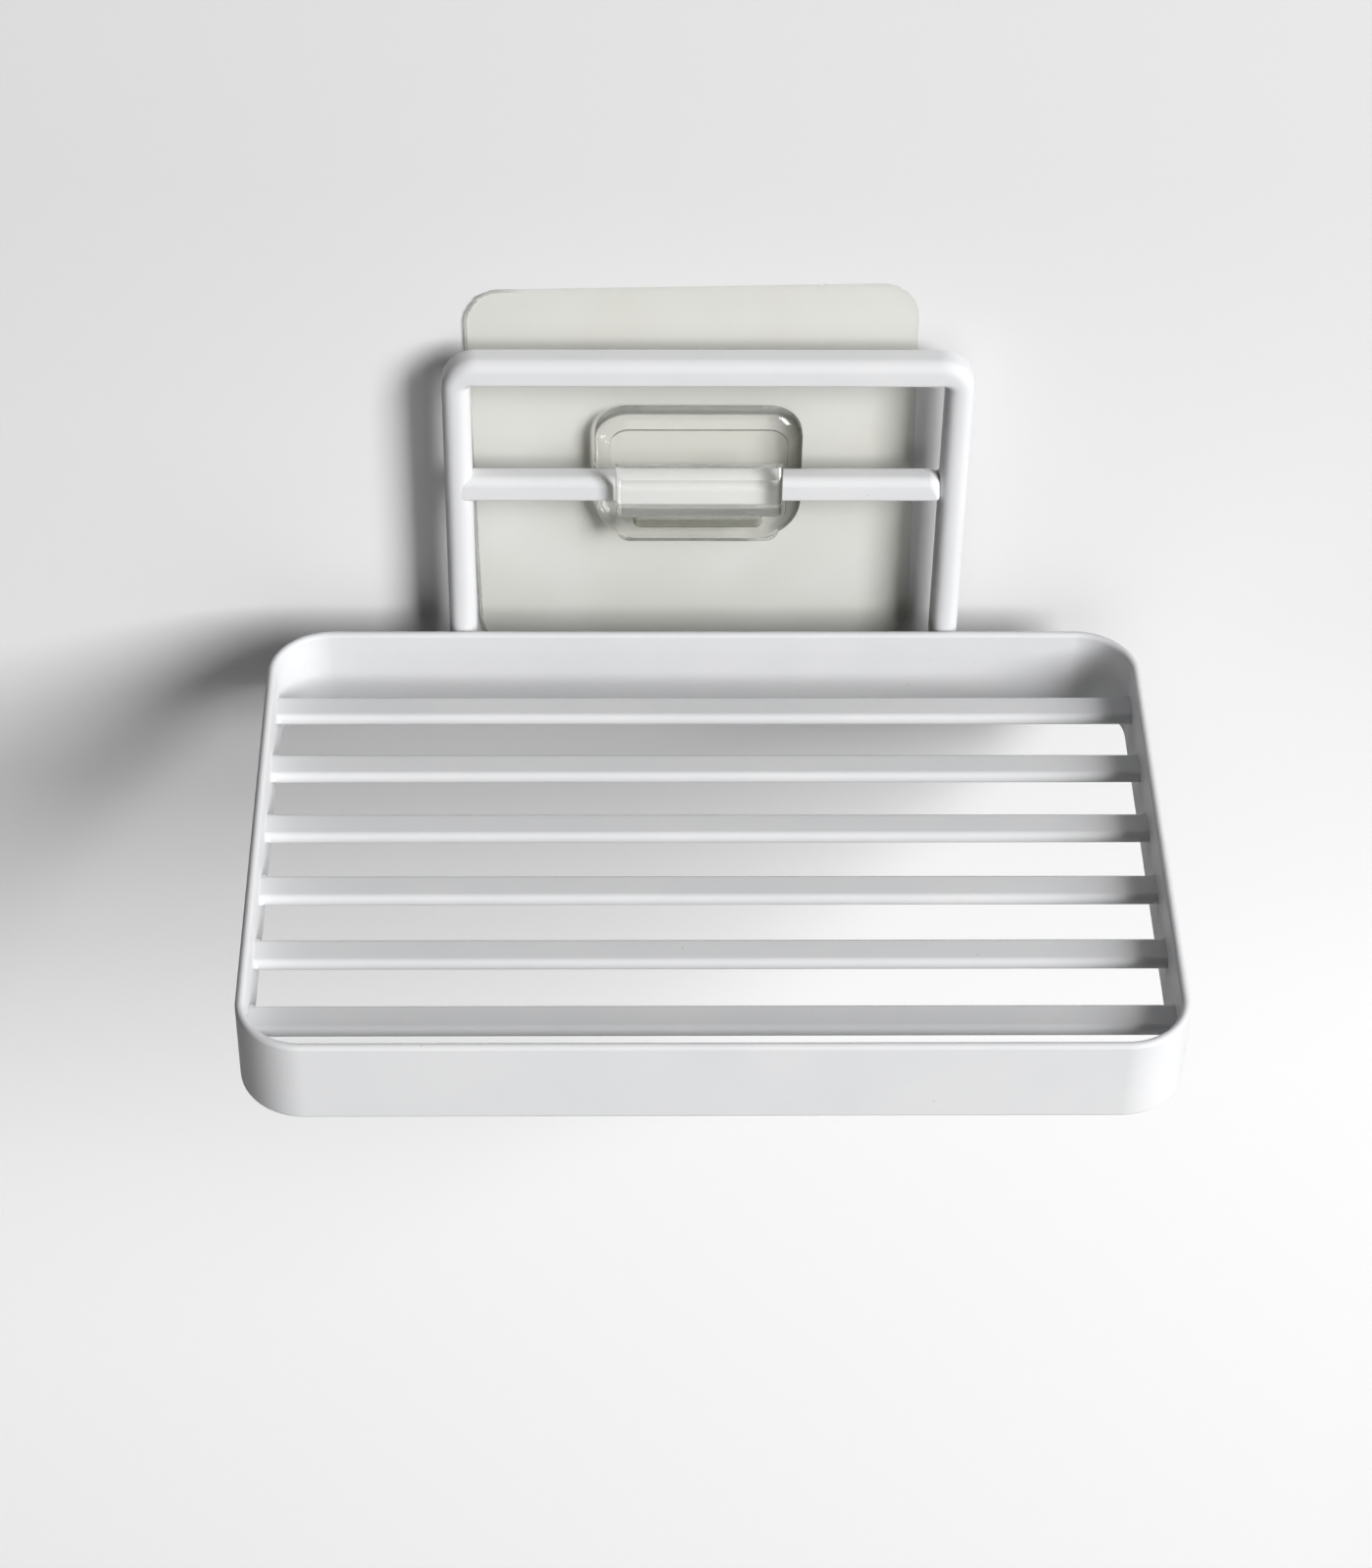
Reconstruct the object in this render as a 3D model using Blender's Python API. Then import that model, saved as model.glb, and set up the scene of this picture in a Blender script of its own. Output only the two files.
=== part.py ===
"""Wall-hung slatted soap tray: a coated steel tray whose back frame hangs on a clear adhesive hook.

Metres, +Z up, +X to the right seen from the front, +Y towards the wall. The origin is on the wall's plane,
behind the middle of the tray and level with the centre of the adhesive film.
"""
import math

import bmesh
import bpy

# Gap kept between pieces that touch, are welded or are bonded
SEAT_GAP = 0.0003

# Adhesive film: a square sheet, stuck on a little off centre and askew
FILM_WIDTH = 0.0657
FILM_HEIGHT = 0.0657
FILM_THICKNESS = 0.0005
FILM_CORNER_R = 0.0044
FILM_OFFSET_X = -0.00225
FILM_TILT = math.radians(1.2)

# Hook: base plate, shelf under the crossbar, and a lip in front of it
HOOK_OFFSET_X = -0.0011
PLATE_WIDTH = 0.0305
PLATE_HEIGHT = 0.0235
PLATE_THICKNESS = 0.0030
PLATE_TOP_CORNER_R = 0.0050
PLATE_LOWER_CORNER_R = 0.0070
PLATE_RISE = 0.0006
FLOOR_HEIGHT = 0.0111
SHELF_THICKNESS = 0.0015
SHELF_NOSE_R = 0.0020
LIP_WIDTH = 0.0243
LIP_HEIGHT = 0.0077
LIP_THICKNESS = 0.0021
LIP_EDGE_R = 0.0004
SLOT_WIDTH = 0.0192
SLOT_HEIGHT = 0.0022
SLOT_DROP = 0.0044

# Crossbar: square bar that lies in the hook's channel
CROSSBAR_HEIGHT = 0.0039
CROSSBAR_DEPTH = 0.0040
CROSSBAR_EDGE_R = 0.0004

# Back frame: square bar bent into an upright rounded rectangle
FRAME_WIDTH = 0.0765
FRAME_HEIGHT = 0.0626
FRAME_BAR_WIDTH = 0.0041
FRAME_BAR_DEPTH = 0.0040
FRAME_BAR_EDGE_R = 0.0009
FRAME_INNER_CORNER_R = 0.0010
FRAME_TOP_ABOVE_CROSSBAR = 0.0208

# Tray rim: a strip on edge, bent into a rounded rectangle, level with the frame's lower edge
RIM_WIDTH = 0.1300
RIM_DEPTH = 0.0870
RIM_HEIGHT = 0.0138
RIM_WALL = 0.0013
RIM_EDGE_R = 0.0005
RIM_INNER_CORNER_R = 0.0080

# Slats: flat bars from side to side, spaced evenly about the tray's middle
SLAT_COUNT = 6
SLAT_WIDTH = 0.0048
SLAT_THICKNESS = 0.0020
SLAT_PITCH = 0.0129
SLAT_EDGE_R = 0.0006
SLAT_DEPTH_BELOW_RIM = 0.0054

# Bumpers: soft pads behind the frame's lower bar
BUMPER_LENGTH = 0.0080
BUMPER_HEIGHT = 0.0034
BUMPER_CORNER_R = 0.0012
BUMPER_SPACING = 0.0520

# One overrun serves every cut, and pieces that become one are sunk into each other by this much
OVERRUN = 0.0010
FUSE_DEPTH = 0.0005

# Segments in a quarter circle, and the angle from which an edge is shaded sharp
BEND_STEPS = 8
EDGE_STEPS = 2
SHARP_ANGLE = math.radians(40)

# Levels and faces that follow from the sizes: Y from the wall outwards, Z from the hook downwards
PLATE_BACK_Y = -(FILM_THICKNESS + SEAT_GAP)
PLATE_FRONT_Y = PLATE_BACK_Y - PLATE_THICKNESS
CROSSBAR_BACK_Y = PLATE_FRONT_Y - SEAT_GAP
CROSSBAR_Y = CROSSBAR_BACK_Y - CROSSBAR_DEPTH / 2
LIP_BACK_Y = CROSSBAR_BACK_Y - CROSSBAR_DEPTH - SEAT_GAP
LIP_FRONT_Y = LIP_BACK_Y - LIP_THICKNESS
FRAME_BACK_Y = CROSSBAR_Y + FRAME_BAR_DEPTH / 2
FRAME_FRONT_Y = CROSSBAR_Y - FRAME_BAR_DEPTH / 2
RIM_BACK_Y = FRAME_FRONT_Y - SEAT_GAP
RIM_Y = RIM_BACK_Y - RIM_DEPTH / 2

PLATE_LOWER_Z = PLATE_RISE - PLATE_HEIGHT / 2
FLOOR_Z = PLATE_LOWER_Z + FLOOR_HEIGHT
CROSSBAR_LOWER_Z = FLOOR_Z + SEAT_GAP
CROSSBAR_Z = CROSSBAR_LOWER_Z + CROSSBAR_HEIGHT / 2
FRAME_TOP_Z = CROSSBAR_LOWER_Z + CROSSBAR_HEIGHT + FRAME_TOP_ABOVE_CROSSBAR
FRAME_Z = FRAME_TOP_Z - FRAME_HEIGHT / 2
FRAME_LOWER_Z = FRAME_TOP_Z - FRAME_HEIGHT
RIM_LOWER_Z = FRAME_LOWER_Z
RIM_Z = RIM_LOWER_Z + RIM_HEIGHT / 2
SLAT_TOP_Z = RIM_LOWER_Z + RIM_HEIGHT - SLAT_DEPTH_BELOW_RIM

# The rounded bends seen from outside
RIM_CORNER_R = RIM_INNER_CORNER_R + RIM_WALL
FRAME_CORNER_R = FRAME_INNER_CORNER_R + FRAME_BAR_WIDTH


def clear_scene():
    """Start from an empty scene."""
    for item in list(bpy.data.objects):
        bpy.data.objects.remove(item, do_unlink=True)


def material(name, color, roughness, metallic=0.0, transmission=0.0):
    """A Principled material with one plain finish."""
    result = bpy.data.materials.new(name)
    result.use_nodes = True
    shader = result.node_tree.nodes["Principled BSDF"]
    shader.inputs["Base Color"].default_value = color
    shader.inputs["Roughness"].default_value = roughness
    shader.inputs["Metallic"].default_value = metallic
    shader.inputs["Transmission Weight"].default_value = transmission
    return result


def coat_material(name):
    """White powder coat over steel."""
    return material(name, (0.88, 0.89, 0.90, 1.0), roughness=0.35)


def add_object(name, mesh, finish, location=(0, 0, 0)):
    """Put a mesh in the scene as one named sub-part, shaded smooth over its bends."""
    mesh.materials.append(finish)
    mesh.shade_smooth()
    mesh.set_sharp_from_angle(angle=SHARP_ANGLE)
    result = bpy.data.objects.new(name, mesh)
    result.location = location
    bpy.context.scene.collection.objects.link(result)
    return result


def quarter(centre, radius, start, steps):
    """Points of a quarter circle about a centre, counter-clockwise from the start angle."""
    angles = [start + math.pi / 2 * step / steps for step in range(steps + 1)]
    return [(centre[0] + radius * math.cos(a), centre[1] + radius * math.sin(a)) for a in angles]


def rounded_rectangle(half_a, half_b, upper_r, lower_r, steps):
    """Outline of a rectangle about the origin, counter-clockwise, with its own radius above and below."""
    upper_a, upper_b = half_a - upper_r, half_b - upper_r
    lower_a, lower_b = half_a - lower_r, half_b - lower_r
    outline = quarter((upper_a, upper_b), upper_r, 0, steps)
    outline += quarter((-upper_a, upper_b), upper_r, math.pi / 2, steps)
    outline += quarter((-lower_a, -lower_b), lower_r, math.pi, steps)
    outline += quarter((lower_a, -lower_b), lower_r, math.pi * 3 / 2, steps)
    return outline


def mesh_from(name, builder):
    """A mesh from a bmesh, with all its faces turned outwards."""
    bmesh.ops.recalc_face_normals(builder, faces=builder.faces)
    mesh = bpy.data.meshes.new(name)
    builder.to_mesh(mesh)
    builder.free()
    return mesh


def prism(name, outline, length, place):
    """A closed bar: an outline extruded by a length about the middle, each point put in space by place."""
    builder = bmesh.new()
    ends = [[builder.verts.new(place(a, b, side * length / 2)) for a, b in outline] for side in (-1, 1)]
    count = len(outline)
    for i in range(count):
        j = (i + 1) % count
        builder.faces.new((ends[0][i], ends[0][j], ends[1][j], ends[1][i]))
    for end in ends:
        builder.faces.new(end)
    return mesh_from(name, builder)


def bent_ring(name, half_a, half_b, corner_r, wall, height, edge_r, place):
    """A bar of rounded section, wall by height, bent into a closed rounded rectangle of the outer size."""
    section = rounded_rectangle(wall / 2, height / 2, edge_r, edge_r, EDGE_STEPS)
    builder = bmesh.new()
    loops = []
    for across, along in section:
        inset = wall / 2 - across
        radius = corner_r - inset
        outline = rounded_rectangle(half_a - inset, half_b - inset, radius, radius, BEND_STEPS)
        loops.append([builder.verts.new(place(a, b, along)) for a, b in outline])
    for k, loop in enumerate(loops):
        following = loops[(k + 1) % len(loops)]
        for i in range(len(loop)):
            j = (i + 1) % len(loop)
            builder.faces.new((loop[i], loop[j], following[j], following[i]))
    return mesh_from(name, builder)


def lying(a, b, height):
    """An outline in plan, extruded upwards."""
    return (a, b, height)


def upright(a, b, depth):
    """An outline seen from the front, extruded from front to back."""
    return (a, depth, b)


def sideways(a, b, length):
    """An outline seen from the side, extruded from left to right."""
    return (length, a, b)


def boolean(target, cutter, operation):
    """Add or cut another object, which stays behind as a hidden guide."""
    step = target.modifiers.new(cutter.name, "BOOLEAN")
    step.operation = operation
    step.solver = "EXACT"
    step.object = cutter
    cutter.hide_render = True
    cutter.display_type = "WIRE"


def make_film():
    """The clear adhesive sheet on the wall, turned a little about its own middle."""
    outline = rounded_rectangle(FILM_WIDTH / 2, FILM_HEIGHT / 2, FILM_CORNER_R, FILM_CORNER_R, BEND_STEPS)
    mesh = prism("adhesive_film", outline, FILM_THICKNESS, upright)
    finish = material("clear_film", (0.85, 0.86, 0.83, 1.0), roughness=0.25, transmission=0.6)
    film = add_object("adhesive_film", mesh, finish, (FILM_OFFSET_X, -FILM_THICKNESS / 2, 0))
    film.rotation_euler = (0, -FILM_TILT, 0)


def hook_profile():
    """The J in section (y, z): its tail is sunk in the plate, then shelf, rounded nose and lip."""
    tail_y = PLATE_FRONT_Y + FUSE_DEPTH
    shelf_z = FLOOR_Z - SHELF_THICKNESS
    nose_centre = (LIP_FRONT_Y + SHELF_NOSE_R, shelf_z + SHELF_NOSE_R)
    edge_z = FLOOR_Z + LIP_HEIGHT - LIP_EDGE_R
    profile = [(tail_y, FLOOR_Z), (LIP_BACK_Y, FLOOR_Z)]
    profile += quarter((LIP_BACK_Y - LIP_EDGE_R, edge_z), LIP_EDGE_R, 0, EDGE_STEPS)
    profile += quarter((LIP_FRONT_Y + LIP_EDGE_R, edge_z), LIP_EDGE_R, math.pi / 2, EDGE_STEPS)
    profile += quarter(nose_centre, SHELF_NOSE_R, math.pi, BEND_STEPS)
    profile += [(tail_y, shelf_z)]
    return profile


def make_hook():
    """The clear hook: a base plate with a moulding slot, and the J that carries the crossbar."""
    finish = material("clear_plastic", (0.84, 0.86, 0.80, 1.0), roughness=0.12, transmission=0.8)
    outline = rounded_rectangle(
        PLATE_WIDTH / 2, PLATE_HEIGHT / 2, PLATE_TOP_CORNER_R, PLATE_LOWER_CORNER_R, BEND_STEPS)
    plate_y = (PLATE_BACK_Y + PLATE_FRONT_Y) / 2
    plate_mesh = prism("hook", outline, PLATE_THICKNESS, upright)
    hook = add_object("hook", plate_mesh, finish, (HOOK_OFFSET_X, plate_y, PLATE_RISE))
    jaw_mesh = prism("hook_jaw", hook_profile(), LIP_WIDTH, sideways)
    jaw = add_object("hook_jaw", jaw_mesh, finish, (HOOK_OFFSET_X, 0, 0))
    boolean(hook, jaw, "UNION")
    slot_r = SLOT_HEIGHT / 2
    slot_outline = rounded_rectangle(SLOT_WIDTH / 2, slot_r, slot_r, slot_r, BEND_STEPS)
    slot_z = FLOOR_Z - SHELF_THICKNESS - SLOT_DROP - slot_r
    slot_mesh = prism("hook_slot", slot_outline, PLATE_THICKNESS + 2 * OVERRUN, upright)
    slot = add_object("hook_slot", slot_mesh, finish, (HOOK_OFFSET_X, plate_y, slot_z))
    boolean(hook, slot, "DIFFERENCE")


def make_lift_axis():
    """The empty that carries the whole tray: it moves straight up to come off the hook."""
    axis = bpy.data.objects.new("tray_lift_axis", None)
    axis.location = (0, CROSSBAR_Y, CROSSBAR_LOWER_Z)
    bpy.context.scene.collection.objects.link(axis)
    return axis


def hang(piece, axis):
    """Parent a piece of the tray to the lift axis without moving it."""
    piece.parent = axis
    piece.location = piece.location - axis.location


def make_crossbar(axis):
    """The square bar between the frame's sides, seated on the hook's shelf."""
    section = rounded_rectangle(
        CROSSBAR_DEPTH / 2, CROSSBAR_HEIGHT / 2, CROSSBAR_EDGE_R, CROSSBAR_EDGE_R, EDGE_STEPS)
    length = FRAME_WIDTH - 2 * (FRAME_BAR_WIDTH + SEAT_GAP)
    mesh = prism("crossbar", section, length, sideways)
    hang(add_object("crossbar", mesh, coat_material("crossbar_coat"), (0, CROSSBAR_Y, CROSSBAR_Z)), axis)


def make_back_frame(axis):
    """The upright frame behind the tray."""
    mesh = bent_ring(
        "back_frame", FRAME_WIDTH / 2, FRAME_HEIGHT / 2, FRAME_CORNER_R,
        FRAME_BAR_WIDTH, FRAME_BAR_DEPTH, FRAME_BAR_EDGE_R, upright)
    hang(add_object("back_frame", mesh, coat_material("frame_coat"), (0, CROSSBAR_Y, FRAME_Z)), axis)


def make_rim(axis):
    """The strip that forms the tray's wall."""
    mesh = bent_ring(
        "rim_band", RIM_WIDTH / 2, RIM_DEPTH / 2, RIM_CORNER_R, RIM_WALL, RIM_HEIGHT, RIM_EDGE_R, lying)
    hang(add_object("rim_band", mesh, coat_material("rim_coat"), (0, RIM_Y, RIM_Z)), axis)


def room_inside_rim(distance):
    """Half the width inside the rim, at a distance in front of or behind the tray's middle."""
    half_width = RIM_WIDTH / 2 - RIM_WALL
    into_bend = distance - (RIM_DEPTH / 2 - RIM_CORNER_R)
    if into_bend <= 0:
        return half_width
    return half_width - RIM_INNER_CORNER_R + math.sqrt(RIM_INNER_CORNER_R ** 2 - into_bend ** 2)


def make_slats(axis):
    """The slats, each as long as the rim leaves room for at its place."""
    section = rounded_rectangle(SLAT_WIDTH / 2, SLAT_THICKNESS / 2, SLAT_EDGE_R, SLAT_EDGE_R, EDGE_STEPS)
    for index in range(SLAT_COUNT):
        offset = ((SLAT_COUNT - 1) / 2 - index) * SLAT_PITCH
        half_length = room_inside_rim(abs(offset) + SLAT_WIDTH / 2) - SEAT_GAP
        name = f"slat_{index + 1}"
        mesh = prism(name, section, 2 * half_length, sideways)
        place = (0, RIM_Y + offset, SLAT_TOP_Z - SLAT_THICKNESS / 2)
        hang(add_object(name, mesh, coat_material(f"{name}_coat"), place), axis)


def make_bumpers(axis):
    """Two soft pads behind the frame's lower bar, just thin enough to pass the film on the way up."""
    front_y = FRAME_BACK_Y + SEAT_GAP
    thickness = PLATE_BACK_Y - front_y
    outline = rounded_rectangle(
        BUMPER_LENGTH / 2, BUMPER_HEIGHT / 2, BUMPER_CORNER_R, BUMPER_CORNER_R, EDGE_STEPS)
    for name, side in (("bumper_left", -1), ("bumper_right", 1)):
        finish = material(f"{name}_silicone", (0.86, 0.87, 0.85, 1.0), roughness=0.4, transmission=0.5)
        mesh = prism(name, outline, thickness, upright)
        place = (side * BUMPER_SPACING / 2, front_y + thickness / 2, FRAME_LOWER_Z + FRAME_BAR_WIDTH / 2)
        hang(add_object(name, mesh, finish, place), axis)


def main():
    clear_scene()
    make_film()
    make_hook()
    lift_axis = make_lift_axis()
    make_crossbar(lift_axis)
    make_back_frame(lift_axis)
    make_rim(lift_axis)
    make_slats(lift_axis)
    make_bumpers(lift_axis)


main()
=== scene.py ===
"""Looks of the wall-hung soap tray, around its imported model: finer meshes, finishes, stage, lights, camera.

Metres, +Z up, +X to the right seen from the front, +Y into the wall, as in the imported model.
"""
import math

import bmesh
import bpy
from mathutils import Matrix, Vector, noise


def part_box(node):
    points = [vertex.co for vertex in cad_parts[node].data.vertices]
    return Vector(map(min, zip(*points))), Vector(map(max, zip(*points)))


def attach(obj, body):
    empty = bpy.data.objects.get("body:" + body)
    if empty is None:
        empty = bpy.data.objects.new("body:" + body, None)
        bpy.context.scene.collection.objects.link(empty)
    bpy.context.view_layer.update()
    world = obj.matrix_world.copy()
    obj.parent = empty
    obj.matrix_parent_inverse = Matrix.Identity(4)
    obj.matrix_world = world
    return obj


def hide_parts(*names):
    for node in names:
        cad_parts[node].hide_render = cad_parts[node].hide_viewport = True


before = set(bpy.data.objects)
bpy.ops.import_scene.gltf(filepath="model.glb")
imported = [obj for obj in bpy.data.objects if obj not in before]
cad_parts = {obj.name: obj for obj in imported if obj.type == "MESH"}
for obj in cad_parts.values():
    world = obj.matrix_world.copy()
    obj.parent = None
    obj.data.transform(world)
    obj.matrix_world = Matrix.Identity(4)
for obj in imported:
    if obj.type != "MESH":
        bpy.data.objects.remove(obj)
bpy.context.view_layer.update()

MM = 0.001

# Bodies and finishes, by the record's names
WALL_BODY = "wall_mount"
TRAY_BODY = "tray"

# Steps in a quarter circle
BEND_STEPS = 24
EDGE_STEPS = 6
PAD_STEPS = 8
SLOT_STEPS = 10

# Shading: points closer than this are one, an edge is sharp from this angle, and large faces lead the normals
MERGE_DISTANCE = 1e-7
SHARP_ANGLE = math.radians(35)
LARGE_FACES_FIRST = 100

# What touches is 0.3 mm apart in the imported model. Bonded faces reach this share of the way across.
SEAT_GAP = 0.3 * MM
BOND_SHARE = 0.9

# Rim strip
RIM_WALL = 1.3 * MM
RIM_EDGE_R = 0.64 * MM
RIM_INNER_R = 8.0 * MM

# Back frame. The radii of its bar's edges: towards the wall, outer front, and front at the window, on the
# upright bars and on the level ones.
FRAME_BAR = 4.1 * MM
FRAME_INNER_R = 1.0 * MM
FRAME_REAR_R = 0.35 * MM
FRAME_FRONT_R = 1.7 * MM
FRAME_WINDOW_R = 1.9 * MM
FRAME_WINDOW_LEVEL_R = 0.6 * MM

# Crossbar
CROSSBAR_EDGE_R = 1.4 * MM
CROSSBAR_FOOT_EDGE_R = 0.5 * MM
CROSSBAR_REACH_LEFT = 2.9 * MM
CROSSBAR_REACH_RIGHT = 0.35 * MM
CROSSBAR_SET_BACK = 0.03 * MM
CROSSBAR_END_R = 1.7 * MM
CROSSBAR_FOOT_R = 0.6 * MM

# Slats
SLAT_EDGE_R = 0.85 * MM
SLAT_COUNT = 6

# Weld beads: lumps whose surface waves by a share of their size, each in its own part of a noise
BEAD_SUBDIVISIONS = 3
BEAD_WAVE = 0.22
BEAD_WAVES = 1.3
BEAD_SEED_STEP = (3.7, 1.9, 1)

# Beads at the slats' corners: half sizes, place, and how much smaller those away from the wall are
SLAT_BEAD = (0.9 * MM, 0.5 * MM, 0.62 * MM)
SLAT_BEAD_INWARDS = 0.1 * MM
SLAT_BEAD_DROP = 0.95 * MM
SLAT_BEAD_DROP_SPREAD = 0.15 * MM
SLAT_BEAD_FRONT_SHARE = 0.7
SLAT_BEAD_PLACES = (5.3, 0.7, 0.1)
SLAT_BEAD_SEED = 1

# Beads behind the crossbar's ends, and along the frame's foot under and above the rim's lower edge
BAR_BEAD = (0.75 * MM, 0.5 * MM, 0.6 * MM)
BAR_BEAD_INWARDS = 0.5 * MM
BAR_BEAD_RISE = 0.35 * MM
BAR_BEAD_DROP = 1.2 * MM
FOOT_BEAD_X = (12 * MM, 30 * MM)
FOOT_BEAD = (2.2 * MM, 0.75 * MM, 0.45 * MM)
FOOT_BEAD_RISE = 0.55 * MM
UPPER_BEAD = (2.2 * MM, 0.7 * MM, 0.6 * MM)
UPPER_BEAD_DROP = 0.5 * MM
FRAME_BEAD_SEED = 50

# Pads behind the frame
PAD_CORNER_R = 1.2 * MM
PAD_LEAST_R = 0.2 * MM
PAD_DOME = 1.0 * MM
PAD_DOME_STEPS = 5

# Hook: base plate with a rounded border and a faint step inside it
PLATE_THICKNESS = 3.0 * MM
PLATE_HEIGHT = 23.5 * MM
PLATE_TOP_R = 5.0 * MM
PLATE_LOWER_R = 7.0 * MM
PLATE_BEVEL = 2.3 * MM
PLATE_BEVEL_DEPTH = 1.9 * MM
PLATE_BEVEL_SWEEP = math.radians(60)
PLATE_BEVEL_STEPS = 9
PLATE_STEP = 0.2 * MM
PLATE_STEP_LEAN = 0.1 * MM
PLATE_BACK_ROUND = 0.2 * MM

# Hook: shelf and lip
FLOOR_RISE = 11.1 * MM
SHELF_THICKNESS = 0.9 * MM
LIP_WIDTH = 24.3 * MM
LIP_THICKNESS = 2.1 * MM
LIP_RISE = 7.7 * MM
LIP_EDGE_R = 0.3 * MM
LIP_BEVEL_DEPTH = 0.9 * MM
LIP_BEVEL_HEIGHT = 1.5 * MM
LIP_SIDE_ROUND = 1.1 * MM
NOSE_R = 0.8 * MM
JAW_ROOT = 0.5 * MM

# Hook: slot, and the block under the shelf
SLOT_WIDTH = 19.2 * MM
SLOT_HEIGHT = 2.6 * MM
SLOT_DROP = 3.7 * MM
SLOT_MARGIN = 0.2 * MM
SLOT_OVERRUN = 1.0 * MM
BLOCK_RISE = 0.8 * MM
BLOCK_ROOT = 1.6 * MM
BLOCK_FOOT = 1.3 * MM
BLOCK_INSET = 0.15 * MM
BLOCK_R = 2.0 * MM
HOOK_EDGE_ROUND = 0.22 * MM
HOOK_EDGE_STEPS = 3
HOOK_SHARP = math.radians(24)

# Film
FILM_WIDTH = 65.12 * MM
FILM_HEIGHT = 65.7 * MM
FILM_CORNER_R = 5.5 * MM
FILM_CORNER_STEPS = 16
FILM_TILT = math.radians(1.2)
FILM_X = -1.75 * MM
FILM_BORDER = 0.28 * MM
FILM_EDGE_DROP = 0.12 * MM
FILM_WAVE = 0.35 * MM
FILM_WAVE_STEP = 0.8
FILM_WAVE_PLACE = (3.1, 0.4)
NICK_X = 18.8 * MM
NICK = ((0.6 * MM, 0.02 * MM), (0.35 * MM, 0.14 * MM), (0.1 * MM, 0.02 * MM),
        (-0.1 * MM, -0.6 * MM), (-0.45 * MM, 0))

# Finishes. Noise scales count features to a metre, and the two values of a pair belong to the two ends of its
# noise or span.
NOISE_SPAN = (0.35, 0.65)

COAT_TONES = ((0.725, 0.73, 0.742, 1), (0.75, 0.752, 0.76, 1))
COAT_PATCHES = 70.0
COAT_PEEL = 850.0
COAT_GRAIN = 4200.0
COAT_GRAIN_SHARE = 0.25
COAT_RELIEF = 0.03 * MM
COAT_ROUGHNESS = (0.52, 0.62)
DUST_TONE = (0.30, 0.28, 0.25, 1)
DUST_CELLS = 170.0
DUST_SPAN = (0.018, 0.03)
DUST_SHARE = 0.35

PLASTIC_TONES = ((0.99, 0.99, 0.98, 1), (0.90, 0.90, 0.83, 1))
PLASTIC_TONE_SPAN = (0.35, 0.95)
PLASTIC_SKIN = 3500.0
PLASTIC_ROUGHNESS = (0.08, 0.12)
# Painted shade on the hook: olive darkening of its right-facing sides and of the upper and lower faces of its
# slot
HOOK_PAINTED_SHADE = (0.10, 0.105, 0.06, 1)
RIGHT_SIDE_SHADE_SPAN = (0.15, 0.7)
RIGHT_SIDE_SHADE_SHARE = 0.95
SLOT_SHADE_SHARE = 0.85
LAMP_TINT = (0.97, 0.97, 0.95, 1)
LAMP_SIDE_TINT = (0.10, 0.10, 0.075, 1)
LAMP_SPAN = (0.2, 0.7)
LAMP_FLAT_SHARES = (0.25, 1.0)

FILM_TONE = (0.70, 0.69, 0.50, 1)
FILM_PATCHES = 60.0
FILM_HAZE = (0.075, 0.10)
FILM_RIPPLE = 300.0
FILM_RELIEF = 0.03 * MM
# Film border: a dark cut line, made strongest on the left by a painted shadow
CUT_AND_SHADOW_TONE = (0.35, 0.35, 0.32, 1)
CUT_SHADOW_SPAN = (-34 * MM, -26 * MM)
CUT_SHADOW_SHARES = (0.7, 0.11)
CUT_GRAIN = 400.0
CUT_GRAIN_SHARES = (0.75, 1.1)

SILICONE_TONES = ((0.78, 0.79, 0.77, 1), (0.84, 0.85, 0.83, 1))
SILICONE_CLOUDS = 400.0
SILICONE_GRAIN = 5000.0
SILICONE_RELIEF = 0.02 * MM


def grey(level):
    """An even grey."""
    return level, level, level, 1


# Stage. Spans are places in metres: heights, depths on the floor, and sideways for the wall's painted shade
# on the right.
WALL_Y = 0.1 * MM
FLOOR_Z = -1.4
REACH = 2.5
# Painted light on the wall: lighter towards the bottom, with a glow lower down; painted shade darkens it far
# to the right, near the key lamp
WALL_PAINTED_LIGHT_TONES = (grey(0.77), grey(0.92))
WALL_PAINTED_LIGHT_SPAN = (0.05, -0.13)
FAR_WALL_PAINTED_SHADE = grey(0.45)
FAR_WALL_SHADE_SPAN = (0.12, 0.7)
WALL_PAINTED_GLOW = 0.08
WALL_PAINTED_GLOW_SPAN = (-0.03, -0.11)
FLOOR_TONES = (grey(0.83), grey(0.86))
FLOOR_MOTTLE = 3.0
FLOOR_GLOW = (0.2, 0.42)
FLOOR_GLOW_SPAN = (-0.1, 0.1)
BOUNCE = (0.20, 0.60)
BOUNCE_RISE = (-0.01, 0.025)
BOUNCE_FALL = (0.065, 0.045)
FIRST_HIT_DEPTH = 1.5

# World
ROOM_TONE = (0.015, 0.015, 0.0155, 1)
BACKDROP_TONE = grey(0.84)
BACKDROP_GLOSS_SHARE = 0.35

# Softboxes: azimuth (0 in front, 90 on the right) and elevation in degrees, distance, width and height in
# metres, power in watts, and the kinds of ray that don't see them
LAMP_TARGET = (0, -0.03, 0)
LAMPS = {
    "key": (45, 26, 2.5, 0.9, 1.5, 82.0, ()),
    "front": (12, 2, 1.2, 0.8, 0.9, 2.4, ()),
    "under": (22, -38, 1.2, 0.8, 0.8, 0.4, ()),
    "rear": (180, -6, 1.3, 0.8, 0.8, 9.0, ("transmission",)),
    "glint": (-65, -35, 1.2, 1.0, 0.6, 12.0, ("diffuse", "transmission")),
}

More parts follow.
